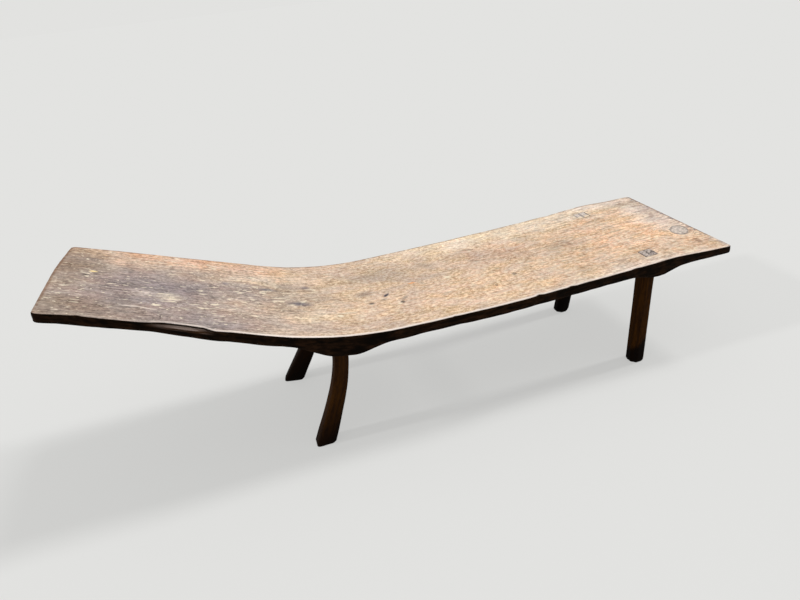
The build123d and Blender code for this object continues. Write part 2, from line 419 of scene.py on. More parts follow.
def ladder(bm, rows):
    """Cuts the upright edges of a block or bar into rows."""
    upright = [edge for edge in bm.edges if abs(edge.verts[0].co.z - edge.verts[1].co.z) > 0.5]
    bmesh.ops.subdivide_edges(bm, edges=upright, cuts=rows - 1, use_grid_fill=True)
    bmesh.ops.recalc_face_normals(bm, faces=bm.faces)
    return bm


def mould(bm, place):
    """Moves each point of a block to where place() puts it."""
    spots = np.column_stack(place(*np.array([vertex.co for vertex in bm.verts]).T))
    for vertex, spot in zip(bm.verts, spots):
        vertex.co = spot
    bmesh.ops.recalc_face_normals(bm, faces=bm.faces)
    return bm


def to_object(bm, name):
    """Makes a smooth-shaded object of a shape, its creases kept sharp."""
    mesh = bpy.data.meshes.new(name)
    bm.to_mesh(mesh)
    bm.free()
    mesh.shade_smooth()
    mesh.set_sharp_from_angle(angle=CREASE)
    piece = bpy.data.objects.new(name, mesh)
    bpy.context.scene.collection.objects.link(piece)
    return piece


def cut(piece, cutters):
    """Cuts other shapes out of a piece for good."""
    for cutter in cutters:
        modifier = piece.modifiers.new("cut", "BOOLEAN")
        modifier.operation = "DIFFERENCE"
        modifier.solver = "MANIFOLD"
        modifier.object = cutter
    bpy.context.view_layer.update()
    carved = bpy.data.meshes.new_from_object(piece.evaluated_get(bpy.context.evaluated_depsgraph_get()))
    piece.modifiers.clear()
    piece.data = carved
    carved.name = piece.name
    carved.materials.clear()
    for cutter in cutters:
        bpy.data.objects.remove(cutter)
    carved.shade_smooth()
    carved.set_sharp_from_angle(angle=CREASE)


def points_of(piece):
    """The x, y and z of every point of a piece."""
    spots = np.zeros(3 * len(piece.data.vertices), np.float32)
    piece.data.vertices.foreach_get("co", spots)
    return spots.reshape(-1, 3).T.astype(float)


def keep(piece, name, values):
    """Keeps three numbers for each point of a piece, for its material to read."""
    attribute = piece.data.attributes.new(name, "FLOAT_VECTOR", "POINT")
    kept = np.column_stack(np.broadcast_arrays(*values))
    attribute.data.foreach_set("vector", kept.astype(np.float32).ravel())


def finish_piece(piece, node, finish):
    """Puts a piece in the frame: its body, the node it stands for and its material."""
    piece.data.materials.append(finish)
    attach(piece, "root")
    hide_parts(node)


# ---------------------------------------------------------------- materials

TALL = 50.0  # how far up and down a spot on the plan of the daybed reaches


def arithmetic(operation):
    """An operator on values and its reflected form, each of which adds a node."""

    def forward(self, other):
        return self.finish.node("ShaderNodeMath", {"operation": operation}, {0: self, 1: other})

    def reflected(self, other):
        return self.finish.node("ShaderNodeMath", {"operation": operation}, {0: other, 1: self})

    return forward, reflected


class Value:
    """A number, vector or colour on its way through a finish, with the usual arithmetic."""

    __add__, __radd__ = arithmetic("ADD")
    __sub__, __rsub__ = arithmetic("SUBTRACT")
    __mul__, __rmul__ = arithmetic("MULTIPLY")
    __truediv__, __rtruediv__ = arithmetic("DIVIDE")
    __or__, __ror__ = arithmetic("MAXIMUM")

    def __init__(self, finish, socket):
        self.finish = finish
        self.socket = socket


class Finish:
    """The nodes of a material, or of the world."""

    def __init__(self, owner):
        self.owner = owner
        owner.use_nodes = True
        self.tree = owner.node_tree
        self.tree.nodes.clear()

    def node(self, kind, settings=None, inputs=None, output=0):
        """Adds a node, sets it, joins or fills its inputs and gives one of its outputs, if it has any."""
        node = self.tree.nodes.new(kind)
        for name, setting in (settings or {}).items():
            setattr(node, name, setting)
        for name, given in (inputs or {}).items():
            if isinstance(given, Value):
                self.tree.links.new(given.socket, node.inputs[name])
            elif isinstance(given, tuple) and len(given) == 3 and node.inputs[name].type == "RGBA":
                node.inputs[name].default_value = (*given, 1.0)
            else:
                node.inputs[name].default_value = given
        return Value(self, node.outputs[output]) if node.outputs else None

    def mix(self, share, first, second):
        """A colour between two colours."""
        settings = {"data_type": "RGBA", "clamp_factor": True}
        return self.node("ShaderNodeMix", settings, {0: share, 6: first, 7: second}, 2)

    def scaled(self, vector, scale):
        """A vector times another."""
        return self.node("ShaderNodeVectorMath", {"operation": "MULTIPLY"}, {0: vector, 1: scale})

    def moved(self, vector, shift):
        """A vector plus another."""
        return self.node("ShaderNodeVectorMath", {"operation": "ADD"}, {0: vector, 1: shift})

    def stored(self, name):
        """What keep() stored on the piece under a name."""
        return self.node("ShaderNodeAttribute", {"attribute_name": name}, output="Vector")

    def parts(self, vector):
        """The x, y and z of a vector."""
        split = self.node("ShaderNodeSeparateXYZ", None, {0: vector}).socket.node
        return [Value(self, socket) for socket in split.outputs]

    def ramp(self, value, start, end, low=0.0, high=1.0):
        """From low to high, smoothly, as a value goes from start to end."""
        inputs = {"Value": value, "From Min": start, "From Max": end, "To Min": low, "To Max": high}
        return self.node("ShaderNodeMapRange", {"interpolation_type": "SMOOTHSTEP"}, inputs)

    def noise(self, vector, scale, detail=2.0, roughness=0.5, output="Fac"):
        """Noise whose lumps are 1 / scale long, wide and deep."""
        inputs = {"Scale": 1.0, "Detail": detail, "Roughness": roughness}
        inputs["Vector"] = self.scaled(vector, scale)
        return self.node("ShaderNodeTexNoise", None, inputs, output)

    def spot(self, vector, centre, reach, turn=0.0, core=0.0, strength=1.0):
        """The strength at the middle of an oval spot and 0 past its reach, on the plan of the daybed."""
        if turn:
            place = {"Location": (*centre, 0.0), "Rotation": (0.0, 0.0, turn), "Scale": (*reach, TALL)}
            place["Vector"] = vector
            placed = self.node("ShaderNodeMapping", {"vector_type": "TEXTURE"}, place)
        else:
            scale = (1 / reach[0], 1 / reach[1], 1 / TALL)
            shift = (-centre[0] / reach[0], -centre[1] / reach[1], 0.0)
            inputs = {0: vector, 1: scale, 2: shift}
            placed = self.node("ShaderNodeVectorMath", {"operation": "MULTIPLY_ADD"}, inputs)
        distance = self.node("ShaderNodeVectorMath", {"operation": "LENGTH"}, {0: placed}, "Value")
        return self.ramp(distance, core, 1.0, strength, 0.0)

    def spots(self, vector, places):
        """Several spots together, each a centre and a reach."""
        found = 0.0
        for centre, reach in places:
            found = self.spot(vector, centre, reach) | found
        return found

    def swayed(self, vector, scale, reach, detail=2.0):
        """A vector moved about by noise, by up to half a reach each way."""
        sway = self.moved(self.noise(vector, scale, detail, output="Color"), (-0.5, -0.5, -0.5))
        return self.moved(vector, self.scaled(sway, reach))

    def tinted(self, colour, hue, saturation, value):
        """A colour made warmer or cooler, stronger or greyer, lighter or darker."""
        inputs = {"Hue": hue, "Saturation": saturation, "Value": value, "Color": colour}
        return self.node("ShaderNodeHueSaturation", None, inputs)

    def seen(self):
        """1 where the camera, a gloss or a glass looks at this, and 0 where it only gives light."""
        rays = ("Is Camera Ray", "Is Glossy Ray", "Is Transmission Ray")
        camera, gloss, glass = (self.node("ShaderNodeLightPath", output=ray) for ray in rays)
        return camera | gloss | glass

    def close(self, colour, roughness, height, relief, gloss):
        """Joins everything to the surface."""
        normal = self.node("ShaderNodeBump", None, {"Height": height, "Strength": 1.0, "Distance": relief})
        inputs = {
            "Base Color": colour,
            "Roughness": roughness,
            "Normal": normal,
            "Specular IOR Level": gloss,
        }
        surface = self.node("ShaderNodeBsdfPrincipled", None, inputs)
        self.node("ShaderNodeOutputMaterial", None, {"Surface": surface})
        return self.owner


def paint_of(name):
    """One of the daybed's colours."""
    return tuple(getattr(bpy.context.scene.daybed_colours, name))


# Broad stains of the plank's top: colour, centre, reach, strength
STAINS = (
    ("cream", (0.42, 0.235), (0.70, 0.14), 0.95),
    ("peach", (0.80, -0.03), (0.42, 0.30), 0.85),
    ("umber", (-0.80, -0.04), (0.56, 0.40), 1.0),
    ("plum", (-0.73, 0.015), (0.31, 0.12), 0.95),
    ("plum", (-0.78, -0.11), (0.26, 0.12), 0.75),
    ("umber", (-0.60, -0.20), (0.42, 0.09), 0.90),
    ("honey", (-0.68, 0.235), (0.50, 0.125), 1.0),
    ("peach", (-0.82, 0.160), (0.14, 0.040), 0.30),
    ("olive", (-1.00, 0.11), (0.15, 0.23), 0.74),
    ("olive", (-0.97, -0.20), (0.26, 0.14), 0.78),
    ("plum", (-0.66, -0.22), (0.24, 0.09), 0.68),
    ("ash", (-0.40, 0.01), (0.22, 0.14), 0.46),
    ("ash", (-0.13, 0.09), (0.20, 0.13), 0.38),
    ("ash", (0.56, 0.0), (0.18, 0.10), 0.34),
    ("peach", (0.10, -0.14), (0.50, 0.17), 0.38),
    ("umber", (0.04, -0.01), (0.20, 0.11), 0.30),
    ("honey", (0.34, 0.07), (0.26, 0.13), 0.50),
    ("umber", (0.30, 0.06), (0.20, 0.12), 0.42),
    ("umber", (0.88, -0.20), (0.14, 0.07), 0.32),
    ("umber", (-0.20, -0.22), (0.15, 0.07), 0.42),
    ("bleached", (0.93, 0.12), (0.11, 0.13), 0.45),
    ("bleached", (0.66, -0.26), (0.36, 0.07), 0.62),
    ("bleached", (0.99, 0.06), (0.10, 0.26), 0.70),
    ("bleached", (0.84, 0.25), (0.30, 0.07), 0.66),
    ("ash", (0.95, 0.20), (0.16, 0.05), 0.50),
    ("umber", (0.985, 0.10), (0.050, 0.18), 0.60),
    ("ash", (-0.02, 0.10), (0.24, 0.07), 0.25),
    ("cream", (-0.36, -0.13), (0.13, 0.06), 0.50),
    ("umber", (-0.20, 0.21), (0.15, 0.08), 0.50),
    ("cream", (0.70, 0.21), (0.14, 0.08), 0.85),
    ("cream", (-0.50, 0.11), (0.12, 0.06), 0.35),
)
# Soft smudges of the top: colour, centre, reach, turn, strength
SMUDGES = (
    ("ash", (-0.122, -0.070), (0.018, 0.0090), 0.2, 0.70),
    ("ash", (-0.060, -0.090), (0.022, 0.0120), 0.9, 0.60),
    ("check", (-0.172, -0.012), (0.045, 0.0320), 0.0, 0.45),
    ("blue", (-0.467, 0.054), (0.044, 0.0190), 0.0, 0.90),
    ("blue", (-0.380, -0.043), (0.058, 0.0240), -0.25, 0.90),
    ("blue", (-0.346, 0.079), (0.026, 0.0190), 0.0, 0.75),
    ("plum", (-0.583, 0.072), (0.018, 0.0180), 0.0, 0.90),
    ("check", (-0.947, 0.032), (0.010, 0.0220), 0.3, 0.35),
    ("check", (0.072, 0.105), (0.050, 0.0340), -0.5, 0.26),
    ("ash", (0.022, -0.016), (0.026, 0.0120), -1.0, 0.45),
    ("check", (0.238, 0.051), (0.026, 0.0100), -0.4, 0.35),
    ("check", (0.578, 0.014), (0.026, 0.0450), 0.3, 0.24),
    ("cream", (-0.730, -0.072), (0.050, 0.0420), -0.3, 0.62),
    ("bleached", (-0.800, -0.060), (0.050, 0.0400), 0.0, 0.50),
)
# Crisp marks on the top: colour, centre, reach, turn, strength
MARKS = (
    ("blue", (-0.108, -0.046), (0.020, 0.0085), 0.81, 0.90),
    ("check", (-0.108, -0.046), (0.015, 0.0040), 0.81, 0.80),
    ("check", (-0.165, -0.083), (0.014, 0.0085), 0.0, 0.75),
    ("check", (-0.071, -0.112), (0.010, 0.0110), 0.0, 0.80),
    ("fleck", (-0.084, -0.118), (0.012, 0.0070), 0.0, 0.80),
    ("pit", (0.250, 0.150), (0.030, 0.0060), -0.4, 0.70),
    ("check", (0.312, -0.105), (0.010, 0.0110), 0.0, 0.60),
    ("check", (0.282, -0.040), (0.010, 0.0080), 0.0, 0.35),
    ("pit", (0.229, -0.148), (0.006, 0.0110), 0.0, 0.70),
    ("rust", (-0.008, -0.002), (0.014, 0.0070), 0.0, 1.0),
    ("fleck", (0.111, -0.018), (0.018, 0.0100), 0.0, 0.90),
    ("yellow", (-0.926, 0.060), (0.014, 0.0080), 0.0, 1.0),
    ("fleck", (-0.763, -0.129), (0.016, 0.0080), 0.0, 0.90),
    ("bleached", (-0.820, -0.149), (0.040, 0.0050), 0.00, 0.65),
    ("bleached", (-0.780, -0.154), (0.030, 0.0045), -0.20, 0.55),
    ("pit", (0.957, -0.185), (0.012, 0.0300), 0.0, 0.55),
    ("fleck", (-0.275, -0.135), (0.012, 0.0120), 0.0, 0.85),
    ("check", (-0.750, -0.197), (0.024, 0.0026), 1.50, 0.55),
    ("check", (-0.700, -0.226), (0.055, 0.0030), 0.05, 0.60),
)
# Where pale flecks crowd: centre, reach
FLECKED = (
    ((-0.480, 0.020), (0.26, 0.24)),
    ((-0.280, -0.140), (0.20, 0.08)),
    ((-0.930, -0.020), (0.11, 0.12)),
    ((-0.730, -0.074), (0.09, 0.07)),
    ((-0.720, -0.090), (0.05, 0.05)),
    ((-0.470, 0.062), (0.14, 0.035)),
    ((-0.560, -0.130), (0.12, 0.035)),
    ((-0.510, 0.180), (0.06, 0.035)),
    ((-0.640, 0.200), (0.40, 0.08)),
    ((-0.600, -0.120), (0.20, 0.10)),
    ((0.100, 0.220), (0.70, 0.07)),
    ((0.860, -0.220), (0.34, 0.07)),
    ((0.930, 0.200), (0.22, 0.14)),
    ((0.960, 0.060), (0.09, 0.16)),
)
KNOT, KNOT_REACH, KNOT_TURN = (0.962, -0.086), (0.046, 0.033), 0.98
KNOT_EDGE, KNOT_CORE = 0.84, 0.62  # how far out its edge and its core start to fade

# Lines of growth: distance between them, how much they wave, and half their width, in distances
GROWTH_LINES = ((0.024, 2.2, 0.16), (0.010, 4.0, 0.22))
# From where to where in from the plank's edge its wear fades out and in: the near edge, rubbed bare and
# lit by a painted highlight; the far edge and the ends, soiled; and the bruises of the foot end
RUBBED_RIM_AND_HIGHLIGHT, SOILED_RIM, BRUISED_END = (0.0120, 0.0075), (0.010, 0.005), (0.030, 0.010)
NEAR_SIDE = (-0.15, -0.20)  # from where to where across the plank its near side starts
# From where to where a tenon's end darkens, out from its middle to the head end and the far side
TENON_OUTLINE = (0.0175, 0.0210)
PALE_HALF = (-0.006, -0.013)  # from where to where across the far tenon its end pales


def growth_lines(f, grain):
    """Thin dark lines of growth, which part around the knot."""
    along, across, _ = f.parts(grain)
    past, beside = along - KNOT[0], across - KNOT[1]
    radius = 1.1 * KNOT_REACH[0]
    parted = beside * (radius**2 / (past * past + beside * beside + 0.3 * radius**2))
    sway = f.noise(grain, (6.0, 16.0, 16.0), 3.0, 0.6)
    found = 0.0
    for pitch, waves, width in GROWTH_LINES:
        place = (across - parted) * (1 / pitch) + sway * waves
        row = f.node("ShaderNodeMath", {"operation": "PINGPONG"}, {0: place, 1: 0.5})
        found = f.ramp(row, width, 0.02) | found
    broken = f.noise(grain, (24.0, 70.0, 70.0), 2.0, 0.6)
    return found * f.ramp(broken, 0.40, 0.60)


def worn_top(f, place, grain, rim, end):
    """The colour of the plank's worn top, and its height for the bump."""
    # Places and grain moved about, so that no stain or streak has a smooth outline
    stained = f.swayed(place, (7.0, 9.0, 9.0), (0.16, 0.11, 0.0))
    ragged = f.swayed(place, (60.0, 90.0, 90.0), (0.012, 0.008, 0.0))
    curly = f.swayed(grain, (30.0, 55.0, 55.0), (0.010, 0.008, 0.0))
    along, across, _ = f.parts(grain)
    # 1 over the headrest, and 1 by the foot end
    head = f.ramp(along, -0.15, -0.50)
    foot = f.ramp(along, 0.20, 0.80)
    # The grain's noises, from broad patches to single fibres
    patch = f.noise(curly, (10.0, 17.0, 17.0), 3.0, 0.6)
    broad = f.ramp(f.noise(curly, (6.0, 12.0, 12.0), 3.0, 0.6), 0.36, 0.64)
    mottle = f.ramp(f.noise(curly, (28.0, 38.0, 38.0), 4.0, 0.65), 0.32, 0.68)
    speckle = f.ramp(f.noise(curly, (80.0, 108.0, 108.0), 4.0, 0.72), 0.36, 0.64)
    streak = f.ramp(f.noise(curly, (18.0, 110.0, 110.0), 3.0, 0.65), 0.34, 0.66)

    # Stains and smudges, then the grain's hue, strength and lightness over them
    colour = paint_of("tan")
    for name, centre, reach, strength in STAINS:
        colour = f.mix(f.spot(stained, centre, reach, strength=strength), colour, paint_of(name))
    for name, centre, reach, turn, strength in SMUDGES:
        colour = f.mix(f.spot(ragged, centre, reach, turn, strength=strength), colour, paint_of(name))
    hue = f.ramp(f.noise(grain, (11.0, 17.0, 17.0), 2.0), 0.35, 0.65, 0.4950, 0.5030)
    hue = hue + (speckle - 0.5) * (0.022 - head * 0.017)
    strength = f.ramp(patch, 0.32, 0.68, 0.86, 1.14) + (0.5 - speckle) * (0.36 - head * 0.32) - head * 0.06
    coarse = f.ramp(patch, 0.42, 0.58, 0.62 + head * 0.30, 1.0)
    value = 0.81 - foot * 0.04 - head * 0.27 + broad * 0.17 + mottle * (0.19 + foot * 0.07)
    value = value + (speckle - 0.5) * (0.55 - foot * 0.17 - head * 0.05) * coarse
    value = value + streak * (0.20 + head * 0.16)
    top = f.tinted(colour, hue, strength, value)

    # Lines of growth, pale flecks and chips, dark pits, single marks and the knot
    growth = growth_lines(f, grain)
    top = f.mix(growth * (0.16 + foot * 0.36), top, paint_of("pit"))
    crowd = f.spots(stained, FLECKED)
    flecks = f.ramp(f.noise(curly, (26.0, 95.0, 95.0), 2.0, 0.5) + crowd * 0.075, 0.66, 0.70)
    chips = f.ramp(f.noise(curly, (60.0, 110.0, 110.0), 2.0, 0.5) + head * 0.02 + crowd * 0.02, 0.67, 0.71)
    top = f.mix((flecks | chips) * (0.55 + head * 0.15), top, paint_of("fleck"))
    pits = f.ramp(f.noise(curly, (90.0, 130.0, 130.0), 2.0, 0.6), 0.65, 0.73)
    top = f.mix(pits * 0.6, top, paint_of("pit"))
    for name, centre, reach, turn, depth in MARKS:
        top = f.mix(f.spot(ragged, centre, reach, turn, 0.35, depth), top, paint_of(name))
    knot = f.spot(ragged, KNOT, KNOT_REACH, KNOT_TURN, KNOT_EDGE)
    core = f.spot(ragged, KNOT, KNOT_REACH, KNOT_TURN, KNOT_CORE)
    inside = f.mix(speckle, f.mix(0.25, paint_of("ash"), paint_of("bleached")), paint_of("bleached"))
    ring = f.mix(speckle * 0.15, paint_of("end_pore"), paint_of("bleached"))
    top = f.mix(knot, top, f.mix(core, ring, inside))

    # Wear of the edges, and a painted highlight along the near edge
    near = f.ramp(across, *NEAR_SIDE)
    middle = f.ramp(along, -0.66, -0.52) * f.ramp(along, 0.70, 0.05, 0.25, 1.0) * f.ramp(along, 0.75, 0.60)
    rubbed_and_highlight = 0.12 + f.ramp(along, -0.86, -0.74) * 0.36 + middle * 0.47
    # Painted highlight: a pale line along the near edge, partly rubbed wood and partly the light caught on
    # the arris
    worn_rim_and_highlight = f.ramp(rim, *RUBBED_RIM_AND_HIGHLIGHT) * near * rubbed_and_highlight * f.ramp(streak, 0.0, 0.5, 0.75, 1.0)
    top = f.mix(worn_rim_and_highlight, top, paint_of("bare_edge"))
    soiled_rim = f.ramp(rim, *SOILED_RIM) * (1 - near) * f.ramp(mottle, 0.1, 0.6)
    soiled_end = f.ramp(end, *SOILED_RIM) * f.ramp(mottle, 0.1, 0.5, 1.0, 0.35)
    top = f.mix((soiled_rim | soiled_end) * 0.65, top, paint_of("pit"))
    bruised = f.ramp(end, *BRUISED_END) * f.ramp(streak, 0.42, 0.22) * foot
    top = f.mix(bruised * 0.75, top, paint_of("blue"))
    return top, speckle * 0.5 + streak * 0.4 + flecks * 0.2 - pits * 0.5 - growth * 0.3


def worn_plank_finish():
    """The plank: worn pale on top, nearly black on its sides and underside."""
    f = Finish(bpy.data.materials.new("worn_plank"))
    place = f.node("ShaderNodeTexCoord", output="Object")
    grain = f.stored("grain")
    rim, end, bared = f.parts(f.stored("carving"))
    depth = f.parts(grain)[2]
    top, height = worn_top(f, place, grain, rim, end)

    fibre = f.noise(grain, (12.0, 160.0, 160.0), 3.0, 0.6)
    cloud = f.noise(grain, (14.0, 30.0, 30.0), 3.0, 0.6)
    blotch = f.noise(grain, (34.0, 90.0, 90.0), 3.0, 0.65)
    brown = f.ramp(fibre, 0.36, 0.70) * 0.5 + f.ramp(blotch, 0.40, 0.66) * 0.5
    side = f.mix(brown * f.ramp(cloud, 0.34, 0.58), paint_of("patina"), paint_of("patina_streak"))
    torn = f.ramp(f.noise(grain, (9.0, 90.0, 430.0), 3.0, 0.6), 0.36, 0.62)
    fibres = f.mix(torn, paint_of("leg"), paint_of("split"))
    side = f.mix(bared * (0.35 + torn * 0.6), side, fibres)
    worn = f.ramp(depth + (cloud - 0.5) * 0.0012, -0.0012, -0.0002)
    colour = f.mix(worn, side, top)
    roughness = f.ramp(worn * 0.5 + cloud * 0.5, 0.2, 0.8, 0.62, 0.84)
    return f.close(colour, roughness, height + fibre * 0.5, 0.0010, 0.02)


def leg_finish(name, sooty=0.066, clean=0.092):
    """Dark, streaked wood: black below sooty, brown above clean, grey at a tenon's end, and a painted shade
    that darkens the far legs.
    """
    f = Finish(bpy.data.materials.new(name))
    grain = f.stored("grain")
    sole, end, far = f.parts(f.stored("carving"))
    _, along, across = f.parts(grain)
    streak = f.noise(grain, (7.0, 95.0, 95.0), 3.0, 0.65)
    cloud = f.noise(grain, (12.0, 34.0, 34.0), 3.0, 0.6)
    flecked = f.noise(grain, (60.0, 150.0, 150.0), 3.0, 0.7)
    shade = f.ramp(streak, 0.38, 0.62) * 0.6 + f.ramp(flecked, 0.36, 0.64) * 0.4
    colour = f.mix(shade, paint_of("leg_streak"), paint_of("leg"))
    colour = f.mix(f.ramp(cloud, 0.5, 0.75) * 0.30, colour, paint_of("patina_streak"))
    # Painted shade: everything on the far side is darkened towards black, standing in for the shade under
    # the plank
    colour = f.mix(far * 0.60, colour, paint_of("soot"))
    foot = f.ramp(sole - along * 1.1 + (cloud - 0.5) * 0.03, clean, sooty)
    colour = f.mix(foot * 0.9, colour, paint_of("soot"))
    mottled = f.ramp(f.noise(grain, (40.0, 120.0, 170.0), 3.0, 0.7), 0.40, 0.58)
    outline = f.ramp((0 - along) | across, *TENON_OUTLINE)
    grey = f.mix(mottled | far * 0.75, paint_of("end_pore"), paint_of("end_grain"))
    grey = f.mix(mottled * far * 0.60, grey, paint_of("bare_edge"))
    grey = f.mix(outline * (0.85 - far * 0.4), grey, paint_of("end_pore"))
    grey = f.mix(far * f.ramp(across, *PALE_HALF), grey, paint_of("cream"))
    colour = f.mix(end, colour, grey)
    roughness = f.ramp(streak, 0.3, 0.7, 0.62, 0.80)
    return f.close(colour, roughness, streak * 0.6 + cloud * 0.4, 0.0010, 0.03)


# ---------------------------------------------------------------- pieces

# Rows of faces up a leg's shaft and up the whole leg, and the faces round it
FOOT_LEG_ROWS, HEAD_LEG_ROWS = (44, 56), (54, 60)
FOOT_LEG_FACES, HEAD_LEG_FACES = 64, 72
WEDGE_FACES = (2, 12, 2)  # across, along and up a wedge
# Marks of the adze on a leg: height, how fast they change up the leg, reach, and change of place
FOOT_LEG_MARKS, HEAD_LEG_MARKS = (0.0007, 12, 0.8, 9), (0.0009, 14, 0.9, 7)
# The chamfer round a leg's sole: how far in and how far up it goes
FOOT_LEG_CHAMFER, HEAD_LEG_CHAMFER = (0.005, 0.006), (0.003, 0.005)

CORNERS_LEFT = 0.985  # how far out a foot leg's worn corners still reach, where 1 is sharp
# The room that the plank leaves round a foot leg's tenon and round a head leg's top, and how many
# times as much it leaves round a foot leg's shaft and round a head leg's stub
FOOT_LEG_ROOM, HEAD_LEG_ROOM, SHAFT_SHARE, STUB_SHARE = 0.0006, 0.0008, 3, 1 / 3
# The wider gap beside the far tenon, towards the foot end: its width, and the cosine of the angle
# round the tenon at which it starts
FAR_TENON_GAP, GAP_START = 0.003, 0.3
TENON_REACH = 0.05  # from a foot leg's seat to its tenon's end, before it is trimmed to the plank
CUTTER_PAST = 0.02  # how far a cutter runs on past the wood that it cuts
TENON_PROUD, WEDGE_PROUD = 0.0003, 0.0004  # how far each stands above the plank
TENON_END = (0.030, 0.036)  # from where to where above a foot leg's seat its end grain starts

WEDGE_TOP, WEDGE_DEPTH = 0.3885, 0.034  # the height of a wedge's top, and how deep it goes
WEDGE_THICKNESS, WEDGE_POINT = 0.006, 0.001  # at its top and at its point
WEDGE_INSET = 0.0003  # how far a wedge stays inside the tenon's sides
KERF_ROOM, KERF_PAST = 0.0002, 0.004  # a saw cut's room round its wedge, and past the tenon's sides
WEDGE_GREY = {"near": 0.70, "far": 0.97}  # how grey each wedge's end has gone

# A head leg: how far past the corner of the bend its top's middle stands, its top's width, how many
# times the usual bow it has, and how far its sole is turned
HEAD_LEGS = {
    "head_leg_near": (-0.0045, 0.0445, 1.0, 0.0),
    "head_leg_far": (0.014, 0.054, 1.3, radians(14)),
}
BOW_LOW, BOW_HIGH = 2, 3.375  # how strongly a head leg bows near its sole, and how much more above
SOLE_SPREAD = 0.002  # how far a head leg's sole spreads towards the head end
SQUARENESS = 5.0  # of a head leg's section, where 2 is round
STUB_HALF_WIDTH, STUB_LENGTH = 0.015, 0.026


def adze_marks(angle, height, marks, place):
    """How far the marks of the adze raise a leg, differently at each place along the plank."""
    deep, pitch, reach, change = marks
    return lumps(np.cos(angle), np.sin(angle), height * pitch, (deep, reach, place * change))


def chamfered(height, chamfer):
    """How far the chamfer round a sole draws a leg in at a height."""
    inwards, upwards = chamfer
    return inwards * (1 - ease(height, 0.0, upwards))


def leg_rows(t, shaft_rows, rows):
    """Whether a point is on the shaft, and its shares of the way up the shaft and up the tenon."""
    row = np.round(t * rows)
    return row <= shaft_rows, row / shaft_rows, (row - shaft_rows - 1) / (rows - shaft_rows - 1)


def leg_axis(name):
    """A foot leg's sole, and the direction to its tenon's end for each metre of height."""
    sole = SOLES[name]
    low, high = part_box(name.replace("leg", "wedge"))
    tenon = Vector(((low.x + high.x) / 2, (low.y + high.y) / 2, high.z))
    return sole, (tenon - sole) / tenon.z


def folded(angle, sides):
    """How far an angle is from the middle of the flat that it meets on a bar of so many sides."""
    step = 2 * pi / sides
    return (angle + step / 2) % step - step / 2


def foot_leg_bar(name, sizes, plank, grow=0.0, past=0.0, gap=0.0):
    """A foot leg, or what is cut out of the plank for it where it is grown."""
    sole, lean = leg_axis(name)
    shaft = sizes.foot_leg_width / 2 + SHAFT_SHARE * grow
    tenon = sizes.tenon_width / 2 + grow
    seat = sizes.seat_of_foot_leg
    worn = 0.0 if grow else 1.0

    def place(x, y, t):
        angle, ring = np.arctan2(y, x), np.hypot(x, y)
        on_shaft, up_shaft, up_tenon = leg_rows(t, *FOOT_LEG_ROWS)
        z = np.where(on_shaft, seat * up_shaft, seat + up_tenon * (past + TENON_REACH))
        hewn = shaft + worn * adze_marks(angle, z, FOOT_LEG_MARKS, sole.x)
        octagon = np.minimum(hewn / np.cos(folded(angle, 8)), hewn / cos(pi / 8) * CORNERS_LEFT)
        octagon = octagon - worn * chamfered(z, FOOT_LEG_CHAMFER)
        radius = np.where(on_shaft, octagon, tenon / np.cos(folded(angle, 4))) * ring
        px = sole.x + lean.x * z + radius * np.cos(angle)
        py = sole.y + lean.y * z + radius * np.sin(angle)
        px = px + np.where(on_shaft | (np.cos(angle) < GAP_START), 0.0, gap)
        if not grow:
            end = plank.top(px, py) + TENON_PROUD
            z = np.where(on_shaft, z, seat + (end - seat) * np.clip(up_tenon, 0.0, 1.0))
        return px, py, z

    return mould(new_bar(FOOT_LEG_FACES, FOOT_LEG_ROWS[1]), place)


def wedge_bar(name, sizes, plank, grow=0.0):
    """The wedge that spreads a foot leg's tenon, or the saw cut it sits in where it is grown."""
    sole, lean = leg_axis(name)
    half_length = sizes.tenon_width / 2 + (KERF_PAST if grow else -WEDGE_INSET)

    def place(x, y, t):
        z = WEDGE_TOP - (WEDGE_DEPTH + grow) * (1 - t)
        half = (WEDGE_POINT + (WEDGE_THICKNESS - WEDGE_POINT) * t) / 2 + grow
        px = sole.x + lean.x * z + x * half
        py = sole.y + lean.y * z + y * half_length
        top = z + CUTTER_PAST if grow else plank.top(px, py) + WEDGE_PROUD
        return px, py, np.where(t > 0.5, top, z)

    return mould(new_block(*WEDGE_FACES), place)


def head_leg_top(name, sizes):
    """Where along the plank the middle of a head leg's top is."""
    return PLANK_BOX[0].x + sizes.headrest_length + HEAD_LEGS[name][0]


def head_leg_line(name, sizes, share):
    """The middle of a curved head leg and half its width, by share of its height."""
    sole, low = SOLES[name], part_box(name)[0]
    _, top_width, more_bow, _ = HEAD_LEGS[name]
    half_top = top_width / 2
    half_sole = sole.x - low.x + SOLE_SPREAD / 2
    arch = more_bow * (BOW_LOW + BOW_HIGH * share) * share * (1 - share)
    bow = (sizes.head_leg_front_bow + sizes.head_leg_back_bow) / 2 * arch
    thinning = (sizes.head_leg_front_bow - sizes.head_leg_back_bow) / 2 * arch
    top = head_leg_top(name, sizes)
    centre = sole.x + (top - sole.x) * share + bow - SOLE_SPREAD / 2 * (1 - share)
    return centre, half_sole + (half_top - half_sole) * share - thinning


